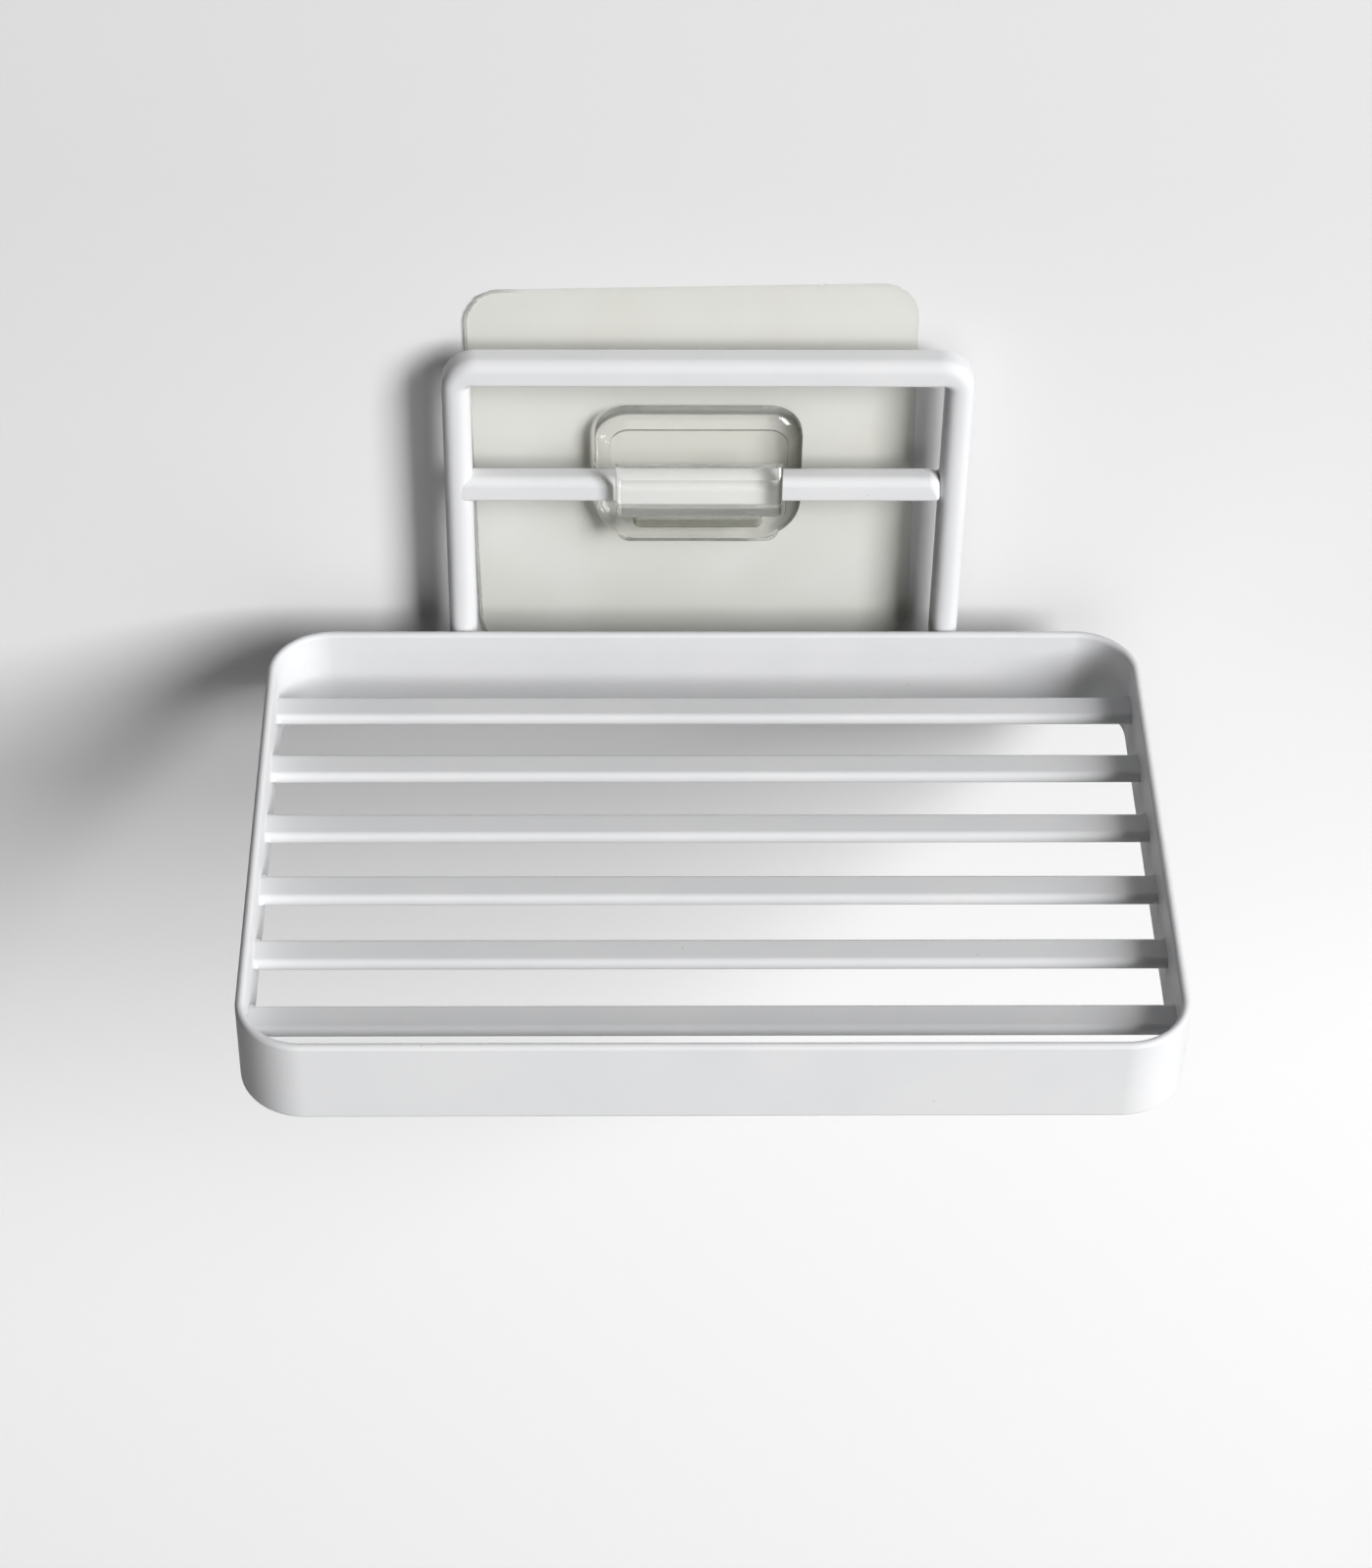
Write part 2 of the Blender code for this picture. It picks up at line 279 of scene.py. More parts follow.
# Camera, solved from the photograph
FOCAL_PX = 4017.87
LONG_SIDE_PX = 1600
SENSOR = 36.0
CLIP_START = 0.01
CLIP_END = 20.0
CAMERA_PLACE = (-0.01380, -0.46202, 0.35746)
PITCH = math.radians(42.2855)
YAW = math.radians(1.4521)
ROLL = math.radians(0.9328)


# ---- meshes


def quarter_turn(steps):
    """Angles from 0 to a right angle."""
    return [math.pi / 2 * i / steps for i in range(steps + 1)]


def arc(centre, radius, start, steps):
    """Points of a quarter circle about a centre, counter-clockwise from the start angle."""
    angles = [start + t for t in quarter_turn(steps)]
    return [(centre[0] + radius * math.cos(a), centre[1] + radius * math.sin(a)) for a in angles]


def rounded_outline(half_a, half_b, radii, steps):
    """Outline of a rectangle about the origin, counter-clockwise from its (+, +) corner, with four radii."""
    points = []
    for corner, r in enumerate(radii):
        a = (half_a - r) * (1 if corner in (0, 3) else -1)
        b = (half_b - r) * (1 if corner < 2 else -1)
        points += arc((a, b), r, math.pi / 2 * corner, steps)
    return points


def rounded_rectangle(half_a, half_b, upper_r, lower_r, steps):
    """Outline of a rectangle about the origin, with its own radius above and below."""
    return rounded_outline(half_a, half_b, (upper_r, upper_r, lower_r, lower_r), steps)


def lying(a, b, c):
    """Outline in plan, thickness upwards."""
    return (a, b, c)


def upright(a, b, c):
    """Outline seen from the front, thickness from front to back."""
    return (a, c, b)


def bridged(loops, closed=False):
    """A bmesh of the faces between neighbouring loops of points. An open run has flat caps on its ends."""
    builder = bmesh.new()
    rings = [[builder.verts.new(p) for p in loop] for loop in loops]
    count = len(rings[0])
    pairs = list(zip(rings, rings[1:])) + ([(rings[-1], rings[0])] if closed else [])
    for first, second in pairs:
        for i in range(count):
            j = (i + 1) % count
            builder.faces.new((first[i], first[j], second[j], second[i]))
    if not closed:
        builder.faces.new(rings[0])
        builder.faces.new(list(reversed(rings[-1])))
    return builder


def level_share(index):
    """How far an outline's point has turned on its bend, from an upright side (0) to a level one (1)."""
    corner, step = divmod(index, BEND_STEPS + 1)
    t = step / BEND_STEPS if corner % 2 == 0 else 1 - step / BEND_STEPS
    return t * t * (3 - 2 * t)


def ring(centre, half_a, half_b, inner_r, wall, height, place, radii, level_radii=None):
    """A bar bent into a closed rounded rectangle. Its level sides may have other edge radii.

    The radii go round the bar's section: outer far, inner far, inner near and outer near edge.
    """
    loops = []
    sections = [rounded_outline(wall / 2, height / 2, edge_radii, EDGE_STEPS)
                for edge_radii in (radii, level_radii or radii)]
    for pair in zip(*sections):
        runs = []
        for across, along in pair:
            inset = wall / 2 - across
            radius = inner_r + wall - inset
            outline = rounded_rectangle(half_a - inset, half_b - inset, radius, radius, BEND_STEPS)
            runs.append([Vector(place(a, b, along)) + centre for a, b in outline])
        loops.append([side.lerp(level, level_share(i)) for i, (side, level) in enumerate(zip(*runs))])
    return bridged(loops, closed=True)


def mesh_from(name, builder):
    """Turn a bmesh into a mesh whose faces look outwards."""
    bmesh.ops.recalc_face_normals(builder, faces=builder.faces)
    mesh = bpy.data.meshes.new(name)
    builder.to_mesh(mesh)
    builder.free()
    return mesh


def linked(name, data):
    """A new object in the scene."""
    made = bpy.data.objects.new(name, data)
    bpy.context.scene.collection.objects.link(made)
    return made


def finish_mesh(name, mesh, body, finishes, replaced=(), sharp=SHARP_ANGLE, weighted=True):
    """Shade a mesh as a piece that rides on a body and stands for CAD nodes."""
    for one in finishes:
        mesh.materials.append(one)
    mesh.shade_smooth()
    mesh.set_sharp_from_angle(angle=sharp)
    piece = linked(name, mesh)
    if weighted:
        normals = piece.modifiers.new("even_shading", "WEIGHTED_NORMAL")
        normals.keep_sharp = True
        normals.weight = LARGE_FACES_FIRST
    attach(piece, body)
    if replaced:
        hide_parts(*replaced)


def finish_piece(name, builder, body, finishes, replaced=(), weighted=True):
    """Turn a bmesh into a shaded piece, as finish_mesh does with a mesh."""
    bmesh.ops.remove_doubles(builder, verts=builder.verts, dist=MERGE_DISTANCE)
    finish_mesh(name, mesh_from(name, builder), body, finishes, replaced, weighted=weighted)


def coated(name, builder, replaced=(), weighted=True):
    """A coated piece of the tray."""
    finish_piece(name, builder, TRAY_BODY, [COAT], replaced, weighted)


# ---- node materials


def new_tree(name):
    """A new material with only its output and an empty tree."""
    made = bpy.data.materials.new(name)
    made.use_nodes = True
    tree = made.node_tree
    tree.nodes.clear()
    return made, tree, tree.nodes.new("ShaderNodeOutputMaterial")


def add(tree, kind, settings=None, **inputs):
    """A node with its settings. Its inputs come by name with _ for a blank, or as i and a number.

    An input gets a value, or a link where it is given a socket.
    """
    made = tree.nodes.new(kind)
    for key, value in (settings or {}).items():
        setattr(made, key, value)
    for key, value in inputs.items():
        numbered = key[0] == "i" and key[1:].isdigit()
        socket = made.inputs[int(key[1:]) if numbered else key.replace("_", " ")]
        if isinstance(value, bpy.types.NodeSocket):
            tree.links.new(value, socket)
        else:
            socket.default_value = value
    return made


def reckon(tree, operation, *values):
    """The result of a Math node."""
    numbered = {f"i{index}": value for index, value in enumerate(values)}
    return add(tree, "ShaderNodeMath", {"operation": operation}, **numbered).outputs[0]


def ramp(tree, value, span=(0, 1), results=(0, 1)):
    """A value that runs through a span, turned into one that runs through the results."""
    return add(tree, "ShaderNodeMapRange", Value=value, From_Min=span[0], From_Max=span[1],
               To_Min=results[0], To_Max=results[1]).outputs["Result"]


def blend(tree, factor, first, second):
    """A colour between two."""
    return add(tree, "ShaderNodeMix", {"data_type": "RGBA"}, Factor=factor, i6=first, i7=second).outputs[2]


def object_coordinates(tree):
    """The object's own metres."""
    return add(tree, "ShaderNodeTexCoord").outputs["Object"]


def object_noise(tree, scale, detail=2.0):
    """Noise over the object's own metres, with this many features to a metre."""
    return add(tree, "ShaderNodeTexNoise", Vector=object_coordinates(tree), Scale=scale,
               Detail=detail).outputs["Fac"]


def relief(tree, height, strength, distance):
    """The normal of a slightly uneven surface, its unevenness this many metres deep."""
    return add(tree, "ShaderNodeBump", Strength=strength, Distance=distance, Height=height).outputs["Normal"]


def to_surface(tree, output, shader):
    """Show this shader."""
    tree.links.new(shader.outputs[0], output.inputs["Surface"])


def coat_material():
    """Satin white powder coat: slight orange peel, fine grain and a few specks of dust."""
    made, tree, output = new_tree("white_powder_coat")
    tone = blend(tree, ramp(tree, object_noise(tree, COAT_PATCHES), NOISE_SPAN), *COAT_TONES)
    where = object_coordinates(tree)
    cells = add(tree, "ShaderNodeTexVoronoi", Vector=where, Scale=DUST_CELLS, Randomness=1.0)
    dust = ramp(tree, cells.outputs["Distance"], DUST_SPAN, (DUST_SHARE, 0))
    peel = object_noise(tree, COAT_PEEL, 1.0)
    grain = object_noise(tree, COAT_GRAIN)
    height = reckon(tree, "MULTIPLY_ADD", grain, COAT_GRAIN_SHARE, peel)
    to_surface(tree, output, add(
        tree, "ShaderNodeBsdfPrincipled", Base_Color=blend(tree, dust, tone, DUST_TONE),
        Roughness=ramp(tree, grain, NOISE_SPAN, COAT_ROUGHNESS),
        Normal=relief(tree, height, strength=0.35, distance=COAT_RELIEF), IOR=1.5, Specular_IOR_Level=0.16))
    return made


def slot_share(tree, places):
    """1 at the height of the hook's slot, 0 elsewhere."""
    height = add(tree, "ShaderNodeSeparateXYZ", Vector=places.outputs["Object"]).outputs["Z"]
    return reckon(tree, "COMPARE", height, SLOT_Z, SLOT_HEIGHT / 2 + SLOT_MARGIN)


def through_for_lamps(tree, shader):
    """The shader, but light on its way to matt surfaces goes straight through, tinted, and counts once.

    Its sides and its slot take most of it, and other upper and lower faces some, as they throw light back
    inside.
    """
    places = add(tree, "ShaderNodeTexCoord")
    facing = add(tree, "ShaderNodeSeparateXYZ", Vector=places.outputs["Normal"])
    flat_share = ramp(tree, slot_share(tree, places), results=LAMP_FLAT_SHARES)
    shares = []
    for axis, most in (("X", 1.0), ("Z", flat_share)):
        along = reckon(tree, "ABSOLUTE", facing.outputs[axis])
        shares.append(ramp(tree, along, LAMP_SPAN, (0, most)))
    tint = blend(tree, reckon(tree, "MAXIMUM", *shares), LAMP_TINT, LAMP_SIDE_TINT)
    clear = add(tree, "ShaderNodeBsdfTransparent", Color=tint)
    path = add(tree, "ShaderNodeLightPath")
    straight = reckon(tree, "MAXIMUM", path.outputs["Is Shadow Ray"], path.outputs["Is Diffuse Ray"])
    return add(tree, "ShaderNodeMixShader", i0=straight, i1=shader.outputs[0], i2=clear.outputs[0])


def plastic_material():
    """Clear moulded plastic with a finely uneven skin, and a painted olive shade on its right sides and
    inside its slot.
    """
    made, tree, output = new_tree("clear_moulded_plastic")
    grazing = add(tree, "ShaderNodeLayerWeight", Blend=0.5).outputs["Facing"]
    tone = blend(tree, ramp(tree, grazing, PLASTIC_TONE_SPAN), *PLASTIC_TONES)
    places = add(tree, "ShaderNodeTexCoord")
    facing = add(tree, "ShaderNodeSeparateXYZ", Vector=places.outputs["Normal"])
    # Painted shade: right-facing sides, and the slot's upper and lower faces, turn dark olive
    right = ramp(tree, facing.outputs["X"], RIGHT_SIDE_SHADE_SPAN, (0, RIGHT_SIDE_SHADE_SHARE))
    inside = reckon(tree, "MULTIPLY", reckon(tree, "ABSOLUTE", facing.outputs["Z"]), slot_share(tree, places))
    share = reckon(tree, "MAXIMUM", right, reckon(tree, "MULTIPLY", inside, SLOT_SHADE_SHARE))
    shader = add(tree, "ShaderNodeBsdfPrincipled", Base_Color=blend(tree, share, tone, HOOK_PAINTED_SHADE),
                 Roughness=ramp(tree, object_noise(tree, PLASTIC_SKIN), NOISE_SPAN, PLASTIC_ROUGHNESS),
                 IOR=1.49, Transmission_Weight=0.92)
    to_surface(tree, output, through_for_lamps(tree, shader))
    return made


def film_material():
    """Clear film: nearly all see-through, with a grey cast, faint haze patches and a glossy skin."""
    made, tree, output = new_tree("clear_film_face")
    to_surface(tree, output, add(
        tree, "ShaderNodeBsdfPrincipled", Base_Color=FILM_TONE, Roughness=0.18, IOR=1.45,
        Alpha=ramp(tree, object_noise(tree, FILM_PATCHES, 1.0), NOISE_SPAN, FILM_HAZE),
        Normal=relief(tree, object_noise(tree, FILM_RIPPLE), strength=0.3, distance=FILM_RELIEF)))
    return made


def film_edge_and_shadow_material():
    """The film's cut border: a thin line, made strongest on the left by a painted shadow of the cut, which
    stands off the wall.
    """
    made, tree, output = new_tree("clear_film_edge_and_shadow")
    across = add(tree, "ShaderNodeSeparateXYZ", Vector=object_coordinates(tree)).outputs["X"]
    grain = ramp(tree, object_noise(tree, CUT_GRAIN), NOISE_SPAN, CUT_GRAIN_SHARES)
    # Painted shadow: the line is strongest on the left and fades towards the right
    share = reckon(tree, "MULTIPLY", ramp(tree, across, CUT_SHADOW_SPAN, CUT_SHADOW_SHARES), grain)
    to_surface(tree, output, add(
        tree, "ShaderNodeBsdfPrincipled", Base_Color=CUT_AND_SHADOW_TONE, Roughness=0.4, Alpha=share, IOR=1.45))
    return made


def silicone_material():
    """Milky silicone."""
    made, tree, output = new_tree("milky_silicone")
    clouds = ramp(tree, object_noise(tree, SILICONE_CLOUDS), NOISE_SPAN)
    to_surface(tree, output, add(
        tree, "ShaderNodeBsdfPrincipled", Base_Color=blend(tree, clouds, *SILICONE_TONES), Roughness=0.45,
        Normal=relief(tree, object_noise(tree, SILICONE_GRAIN), strength=0.3, distance=SILICONE_RELIEF),
        Transmission_Weight=0.25, IOR=1.41))
    return made


SLOT_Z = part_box("hook")[0].z + FLOOR_RISE - SHELF_THICKNESS - SLOT_DROP - SLOT_HEIGHT / 2

COAT = coat_material()
PLASTIC = plastic_material()
FILM_FACE = film_material()
FILM_EDGE_AND_SHADOW = film_edge_and_shadow_material()
SILICONE = silicone_material()


# ---- the tray

rim_lo, rim_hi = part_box("rim_band")
frame_lo, frame_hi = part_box("back_frame")
bar_lo, bar_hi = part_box("crossbar")


def middle(lo, hi):
    """The centre of a box."""
    return (lo + hi) / 2


def make_rim():
    """The strip on edge, rounded along its edges."""
    size = rim_hi - rim_lo
    coated("rim", ring(middle(rim_lo, rim_hi), size.x / 2, size.y / 2, RIM_INNER_R, RIM_WALL, size.z, lying,
                       (RIM_EDGE_R,) * 4), ["rim_band"])


def make_frame():
    """The bar bent into the frame. At the window, its upright sides have softer edges than its level ones."""
    size = frame_hi - frame_lo
    coated("frame", ring(middle(frame_lo, frame_hi), size.x / 2, size.z / 2, FRAME_INNER_R, FRAME_BAR, size.y,
                         upright, (FRAME_REAR_R, FRAME_REAR_R, FRAME_WINDOW_R, FRAME_FRONT_R),
                         (FRAME_REAR_R, FRAME_REAR_R, FRAME_WINDOW_LEVEL_R, FRAME_FRONT_R)), ["back_frame"])


def make_crossbar():
    """The bar in the hook's channel: it runs into the frame on the left and ends rounded on the right."""
    size = bar_hi - bar_lo
    centre = middle(bar_lo, bar_hi)
    half_length = (size.x + CROSSBAR_REACH_LEFT + CROSSBAR_REACH_RIGHT) / 2
    centre.x += (CROSSBAR_REACH_RIGHT - CROSSBAR_REACH_LEFT) / 2
    turns = quarter_turn(EDGE_STEPS)
    loops = []
    for side, t in [(-1, t) for t in turns] + [(1, t) for t in reversed(turns)]:
        loop = []
        for edge_r, corner_r, upper in ((CROSSBAR_EDGE_R, CROSSBAR_END_R, True),
                                        (CROSSBAR_FOOT_EDGE_R, CROSSBAR_FOOT_R, False)):
            inset = edge_r * (1 - math.sin(t))
            y = centre.y + side * (size.y / 2 - CROSSBAR_SET_BACK - edge_r * (1 - math.cos(t)))
            radius = corner_r - inset
            outline = rounded_rectangle(half_length - inset, size.z / 2 - inset, radius, radius, EDGE_STEPS)
            half = len(outline) // 2
            points = outline[:half] if upper else outline[half:]
            loop += [Vector((centre.x + a, y, centre.z + b)) for a, b in points]
        loops.append(loop)
    coated("hanging_bar", bridged(loops), ["crossbar"])


def make_slats():
    """The six flat bars, with rounded edges."""
    for index in range(1, SLAT_COUNT + 1):
        lo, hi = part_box(f"slat_{index}")
        size, centre = hi - lo, middle(lo, hi)
        section = rounded_rectangle(size.y / 2, size.z / 2, SLAT_EDGE_R, SLAT_EDGE_R, EDGE_STEPS)
        loops = [[Vector((x, centre.y + a, centre.z + b)) for a, b in section]
                 for x in (lo.x - SEAT_GAP, hi.x + SEAT_GAP)]
        coated(f"tray_slat_{index}", bridged(loops), [f"slat_{index}"])


def bead(builder, centre, radii, seed):
    """A small lumpy weld bead."""
    made = bmesh.ops.create_icosphere(builder, subdivisions=BEAD_SUBDIVISIONS, radius=1.0)
    shift = Vector([seed * step for step in BEAD_SEED_STEP])
    for vert in made["verts"]:
        wave = noise.noise(vert.co * BEAD_WAVES + shift)
        vert.co = Vector([c * r for c, r in zip(vert.co * (1 + BEAD_WAVE * wave), radii)]) + centre


def make_slat_welds():
    """A bead under the coating at each corner of each slat, larger on the side towards the wall."""
    builder = bmesh.new()
    seed = SLAT_BEAD_SEED
    for index in range(1, SLAT_COUNT + 1):
        lo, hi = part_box(f"slat_{index}")
        for side, x in ((-1, lo.x - SEAT_GAP), (1, hi.x + SEAT_GAP)):
            for y, scale in ((hi.y, 1.0), (lo.y, SLAT_BEAD_FRONT_SHARE)):
                shift = noise.noise(Vector((seed * SLAT_BEAD_PLACES[0], *SLAT_BEAD_PLACES[1:])))
                drop = SLAT_BEAD_DROP + SLAT_BEAD_DROP_SPREAD * shift
                centre = Vector((x - side * SLAT_BEAD_INWARDS, y, hi.z - drop))
                bead(builder, centre, [r * scale for r in SLAT_BEAD], seed)
                seed += 1
    coated("slat_welds", builder, weighted=False)


def make_frame_welds():
    """Beads where the crossbar meets the frame behind, and where the frame's foot meets the rim."""
    builder = bmesh.new()
    seed = FRAME_BEAD_SEED
    rim_face = rim_hi.y + SEAT_GAP / 2
    for side in (-1, 1):
        beads = [(side * (frame_hi.x - FRAME_BAR), bar_hi.y - BAR_BEAD_INWARDS, z, BAR_BEAD)
                 for z in (bar_lo.z + BAR_BEAD_RISE, bar_hi.z - BAR_BEAD_DROP)]
        for x in FOOT_BEAD_X:
            beads += [(side * x, rim_face, rim_lo.z + FOOT_BEAD_RISE, FOOT_BEAD),
                      (side * x, rim_face, frame_lo.z + FRAME_BAR - UPPER_BEAD_DROP, UPPER_BEAD)]
        for x, y, z, radii in beads:
            bead(builder, Vector((x, y, z)), radii, seed)
            seed += 1
    coated("frame_welds", builder, weighted=False)


def make_pads():
    """The soft pads behind the frame, domed towards the wall."""
    for name in ("bumper_left", "bumper_right"):
        lo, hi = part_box(name)
        size, centre = hi - lo, middle(lo, hi)
        sections = [(0, lo.y - SEAT_GAP, PAD_CORNER_R)]
        for t in quarter_turn(PAD_DOME_STEPS):
            inset = PAD_DOME * (1 - math.cos(t))
            y = hi.y - PAD_DOME * (1 - math.sin(t))
            sections.append((inset, y, max(PAD_CORNER_R - inset, PAD_LEAST_R)))
        loops = [[Vector((centre.x + a, y, centre.z + b))
                  for a, b in rounded_rectangle(size.x / 2 - inset, size.z / 2 - inset, r, r, PAD_STEPS)]
                 for inset, y, r in sections]
        finish_piece(name.replace("bumper", "pad"), bridged(loops), TRAY_BODY, [SILICONE], [name])


# ---- the film and the hook


def film_outline(inset):
    """The film's outline as cut: nearly square, with wavy corners and a nick in its upper edge."""
    half_w, half_h, r = FILM_WIDTH / 2 - inset, FILM_HEIGHT / 2 - inset, FILM_CORNER_R - inset
    points = []
    for index, (a, b) in enumerate(rounded_rectangle(half_w, half_h, r, r, FILM_CORNER_STEPS)):
        step = index % (FILM_CORNER_STEPS + 1)
        fade = math.sin(math.pi * step / FILM_CORNER_STEPS)
        wave = noise.noise(Vector((index * FILM_WAVE_STEP, *FILM_WAVE_PLACE))) * FILM_WAVE * fade
        length = math.hypot(a, b)
        points.append((a * (1 - wave / length), b * (1 - wave / length)))
        if index == FILM_CORNER_STEPS:
            points += [(NICK_X + dx, half_h + dz) for dx, dz in NICK]
    return points


def make_film():
    """The sheet on the wall, with a thin sloping border as its cut edge."""
    lo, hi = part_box("adhesive_film")
    turn = Matrix.Rotation(-FILM_TILT, 3, "Y")
    loops = []
    for inset, y in ((0, hi.y), (0, lo.y + FILM_EDGE_DROP), (FILM_BORDER, lo.y)):
        loops.append([turn @ Vector((a, 0, b)) + Vector((FILM_X, y, 0)) for a, b in film_outline(inset)])
    builder = bridged(loops)
    for face in builder.faces:
        face.material_index = 0 if len(face.verts) > 4 else 1
    finish_piece("film", builder, WALL_BODY, [FILM_FACE, FILM_EDGE_AND_SHADOW], ["adhesive_film"],
                 weighted=False)


def make_hook():
    """The moulded hook: plate, jaw and block joined, the slot cut, and its edges softened."""
    lo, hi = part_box("hook")
    x = (lo.x + hi.x) / 2
    half_w = (hi.x - lo.x) / 2
    front_y = hi.y - PLATE_THICKNESS
    back_y = hi.y + SEAT_GAP * BOND_SHARE
    floor_z = lo.z + FLOOR_RISE + SEAT_GAP * BOND_SHARE
    shelf_z = lo.z + FLOOR_RISE - SHELF_THICKNESS
    lip_top = lo.z + FLOOR_RISE + LIP_RISE
    tail_y = front_y + JAW_ROOT

    def solid(name, z, sections):
        """A helper object for the Booleans, from outlines about the plate's middle and their depths."""
        return linked(name, mesh_from(name, bridged(
            [[Vector((x + a, y, z + b)) for a, b in outline] for outline, y in sections])))

    levels = []
    for t in quarter_turn(EDGE_STEPS):
        levels.append((PLATE_BACK_ROUND * (1 - math.sin(t)), back_y - PLATE_BACK_ROUND * (1 - math.cos(t))))
    for i in range(PLATE_BEVEL_STEPS + 1):
        t = PLATE_BEVEL_SWEEP * i / PLATE_BEVEL_STEPS
        inwards = (1 - math.cos(t)) / (1 - math.cos(PLATE_BEVEL_SWEEP))
        forwards = math.sin(t) / math.sin(PLATE_BEVEL_SWEEP)
        levels.append(((PLATE_BEVEL - PLATE_STEP_LEAN) * inwards,
                       front_y + PLATE_BEVEL_DEPTH - (PLATE_BEVEL_DEPTH - PLATE_STEP) * forwards))
    levels.append((PLATE_BEVEL, front_y))
    half_h = PLATE_HEIGHT / 2
    hook = solid("hook_body", lo.z + half_h, [
        (rounded_rectangle(half_w - inset, half_h - inset,
                           PLATE_TOP_R - inset, PLATE_LOWER_R - inset, BEND_STEPS), y)
        for inset, y in levels])

    def jaw_section(inset):
        """Shelf and lip seen from the side, with the lip's front drawn in by the inset."""
        front = lo.y + inset
        lip_back = lo.y + LIP_THICKNESS
        left = 1 - inset / LIP_THICKNESS
        edge = LIP_EDGE_R * left
        points = [(tail_y, floor_z), (lip_back, floor_z)]
        points += arc((lip_back - edge, lip_top - edge), edge, 0, EDGE_STEPS)
        points += [(front + LIP_BEVEL_DEPTH * left, lip_top), (front, lip_top - LIP_BEVEL_HEIGHT * left)]
        points += arc((front + NOSE_R, shelf_z + NOSE_R), NOSE_R, math.pi, BEND_STEPS // 2)
        return points + [(tail_y, shelf_z)]

    sides = [(LIP_WIDTH / 2 - LIP_SIDE_ROUND * (1 - math.sin(t)), LIP_SIDE_ROUND * (1 - math.cos(t)))
             for t in quarter_turn(EDGE_STEPS)]
    stations = [(-a, inset) for a, inset in reversed(sides)] + sides
    jaw = linked("hook_jaw", mesh_from("hook_jaw", bridged(
        [[Vector((x + a, y, z)) for y, z in jaw_section(inset)] for a, inset in stations])))

    block_foot = lo.z + BLOCK_FOOT
    block_top = shelf_z + SEAT_GAP
    block_outline = rounded_rectangle(LIP_WIDTH / 2 - BLOCK_INSET, (block_top - block_foot) / 2,
                                      BLOCK_INSET, BLOCK_R, EDGE_STEPS)
    block = solid("hook_block", (block_foot + block_top) / 2,
                  [(block_outline, y) for y in (front_y - BLOCK_RISE, front_y + BLOCK_ROOT)])

    slot_r = SLOT_HEIGHT / 2
    slot_outline = rounded_rectangle(SLOT_WIDTH / 2, slot_r, slot_r, slot_r, SLOT_STEPS)
    slot = solid("hook_slot", SLOT_Z,
                 [(slot_outline, y) for y in (front_y - SLOT_OVERRUN, back_y + SLOT_OVERRUN)])

    for tool, operation in ((jaw, "UNION"), (block, "UNION"), (slot, "DIFFERENCE")):
        step = hook.modifiers.new(tool.name, "BOOLEAN")
        step.operation = operation
        step.solver = "EXACT"
        step.object = tool
    soften = hook.modifiers.new("soften", "BEVEL")
    soften.width = HOOK_EDGE_ROUND
    soften.segments = HOOK_EDGE_STEPS
    soften.limit_method = "ANGLE"
    soften.angle_limit = HOOK_SHARP
    bpy.context.view_layer.update()
    made = bpy.data.meshes.new_from_object(hook.evaluated_get(bpy.context.evaluated_depsgraph_get()))
    made.name = "clear_hook"
    for helper in (hook, jaw, block, slot):
        bpy.data.objects.remove(helper, do_unlink=True)
    finish_mesh("clear_hook", made, WALL_BODY, [PLASTIC], ["hook"], sharp=HOOK_SHARP)


make_rim()
make_frame()
make_crossbar()
make_slats()
make_slat_welds()
make_frame_welds()
make_pads()
make_film()
make_hook()


# ---- stage: a pale wall, which can be seen from the front only, and a pale floor


def backdrop_rays(tree, path, gloss_share=None):
    """1 for rays on which the stage shows at its full tone: from the camera, and in glass and reflections."""
    gloss = path.outputs["Is Glossy Ray"]
    if gloss_share is not None:
        gloss = reckon(tree, "MULTIPLY", gloss, gloss_share)
    clear = reckon(tree, "MAXIMUM", gloss, path.outputs["Is Transmission Ray"])
    return reckon(tree, "MAXIMUM", path.outputs["Is Camera Ray"], clear)


def matt_stage(tree, places, tone, glow):
    """Matt paint with a glow. It throws back less light than it shows, and most of that beside the frame."""
    path = add(tree, "ShaderNodeLightPath")
    thrown = reckon(tree, "MINIMUM", ramp(tree, places.outputs["Z"], BOUNCE_RISE, BOUNCE),
                    ramp(tree, places.outputs["Z"], BOUNCE_FALL, BOUNCE))
    colour = blend(tree, path.outputs["Is Diffuse Ray"], tone, thrown)
    paint = add(tree, "ShaderNodeBsdfDiffuse", Color=colour)
    lift = reckon(tree, "MULTIPLY", glow, backdrop_rays(tree, path))
    glowing = add(tree, "ShaderNodeEmission", Strength=lift)
    return add(tree, "ShaderNodeAddShader", i0=paint.outputs[0], i1=glowing.outputs[0]), path


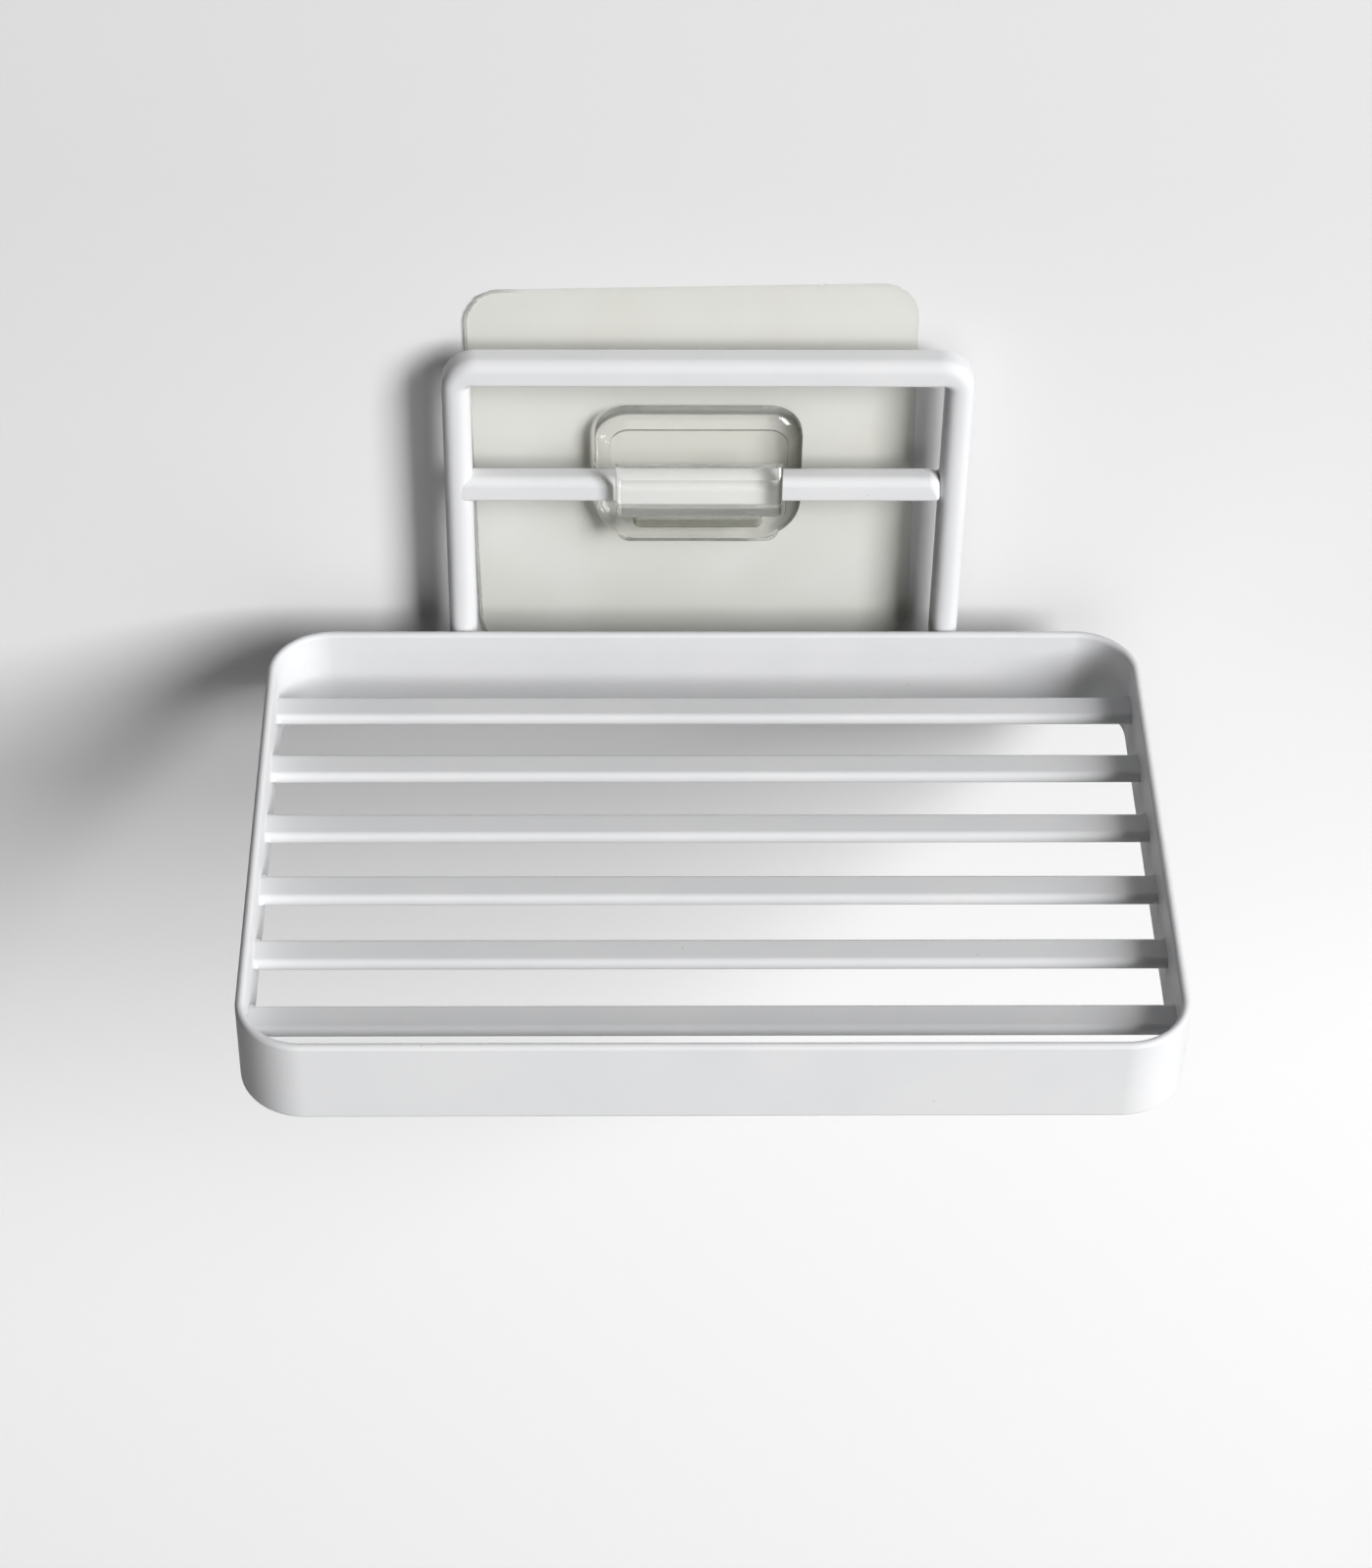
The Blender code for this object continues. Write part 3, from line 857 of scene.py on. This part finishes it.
def wall_material():
    """Pale paint in front, with painted light lower down and painted shade far to the right. It is clear from
    behind, and for lamp light on its way to what the camera sees.
    """
    made, tree, output = new_tree("pale_wall")
    places = add(tree, "ShaderNodeSeparateXYZ", Vector=object_coordinates(tree))
    # Painted light: lighter towards the bottom; painted shade: darker far to the right
    near = blend(tree, ramp(tree, places.outputs["Z"], WALL_PAINTED_LIGHT_SPAN), *WALL_PAINTED_LIGHT_TONES)
    tone = blend(tree, ramp(tree, places.outputs["X"], FAR_WALL_SHADE_SPAN), near, FAR_WALL_PAINTED_SHADE)
    glow = ramp(tree, places.outputs["Z"], WALL_PAINTED_GLOW_SPAN, (0, WALL_PAINTED_GLOW))
    paint, path = matt_stage(tree, places, tone, glow)
    first = reckon(tree, "LESS_THAN", path.outputs["Ray Depth"], FIRST_HIT_DEPTH)
    lamp = reckon(tree, "MULTIPLY", path.outputs["Is Shadow Ray"], first)
    back = add(tree, "ShaderNodeNewGeometry").outputs["Backfacing"]
    clear = add(tree, "ShaderNodeBsdfTransparent")
    to_surface(tree, output, add(tree, "ShaderNodeMixShader", i0=reckon(tree, "MAXIMUM", back, lamp),
                                 i1=paint.outputs[0], i2=clear.outputs[0]))
    return made


def floor_material():
    """Pale, faintly mottled paint, which glows less in front of the wall, where the lamps reach it."""
    made, tree, output = new_tree("pale_floor")
    where = object_coordinates(tree)
    places = add(tree, "ShaderNodeSeparateXYZ", Vector=where)
    mottle = add(tree, "ShaderNodeTexNoise", Vector=where, Scale=FLOOR_MOTTLE, Detail=2.0).outputs["Fac"]
    glow = ramp(tree, places.outputs["Y"], FLOOR_GLOW_SPAN, FLOOR_GLOW)
    paint, path = matt_stage(tree, places, blend(tree, mottle, *FLOOR_TONES), glow)
    to_surface(tree, output, paint)
    return made


def stage_plane(name, corners, finish):
    """A flat piece of the stage."""
    mesh = bpy.data.meshes.new(name)
    mesh.from_pydata(corners, [], [tuple(range(len(corners)))])
    mesh.materials.append(finish)
    linked(name, mesh)


stage_plane("wall", [(-REACH, WALL_Y, FLOOR_Z), (REACH, WALL_Y, FLOOR_Z),
                     (REACH, WALL_Y, REACH), (-REACH, WALL_Y, REACH)], wall_material())
stage_plane("floor", [(-REACH, -REACH, FLOOR_Z), (REACH, -REACH, FLOOR_Z),
                      (REACH, REACH, FLOOR_Z), (-REACH, REACH, FLOOR_Z)], floor_material())


# ---- lights and world


def softbox(name, azimuth, elevation, distance, width, height, power, unseen_by):
    """A softbox that faces the tray, which the camera and these kinds of ray don't see."""
    a, e = math.radians(azimuth), math.radians(elevation)
    direction = Vector((math.sin(a) * math.cos(e), -math.cos(a) * math.cos(e), math.sin(e)))
    lamp = bpy.data.lights.new(name, "AREA")
    lamp.shape = "RECTANGLE"
    lamp.size = width
    lamp.size_y = height
    lamp.energy = power
    made = linked(name, lamp)
    made.location = Vector(LAMP_TARGET) + direction * distance
    made.rotation_mode = "QUATERNION"
    made.rotation_quaternion = direction.to_track_quat("Z", "Y")
    for kind in ("camera", *unseen_by):
        setattr(made, f"visible_{kind}", False)


def make_world():
    """A dim room, and a pale backdrop where the camera looks past the wall."""
    world = bpy.data.worlds.new("room")
    bpy.context.scene.world = world
    world.use_nodes = True
    tree = world.node_tree
    tree.nodes.clear()
    direct = backdrop_rays(tree, add(tree, "ShaderNodeLightPath"), BACKDROP_GLOSS_SHARE)
    sky = add(tree, "ShaderNodeBackground", Color=blend(tree, direct, ROOM_TONE, BACKDROP_TONE), Strength=1.0)
    to_surface(tree, add(tree, "ShaderNodeOutputWorld"), sky)


for lamp_name, lamp_values in LAMPS.items():
    softbox(lamp_name, *lamp_values)
make_world()


# ---- camera


def make_camera():
    """The camera at the photograph's place, angle and lens."""
    lens = bpy.data.cameras.new("camera")
    lens.sensor_width = SENSOR
    lens.lens = FOCAL_PX / LONG_SIDE_PX * SENSOR
    lens.clip_start = CLIP_START
    lens.clip_end = CLIP_END
    made = linked("camera", lens)
    ahead = Vector((math.sin(YAW) * math.cos(PITCH), math.cos(YAW) * math.cos(PITCH), -math.sin(PITCH)))
    right = Vector((math.cos(YAW), -math.sin(YAW), 0))
    up = right.cross(ahead)
    right, up = (right * math.cos(ROLL) + up * math.sin(ROLL), up * math.cos(ROLL) - right * math.sin(ROLL))
    made.matrix_world = Matrix.Translation(CAMERA_PLACE) @ Matrix((right, up, -ahead)).transposed().to_4x4()
    bpy.context.scene.camera = made


make_camera()
bpy.context.scene.view_settings.view_transform = "Standard"
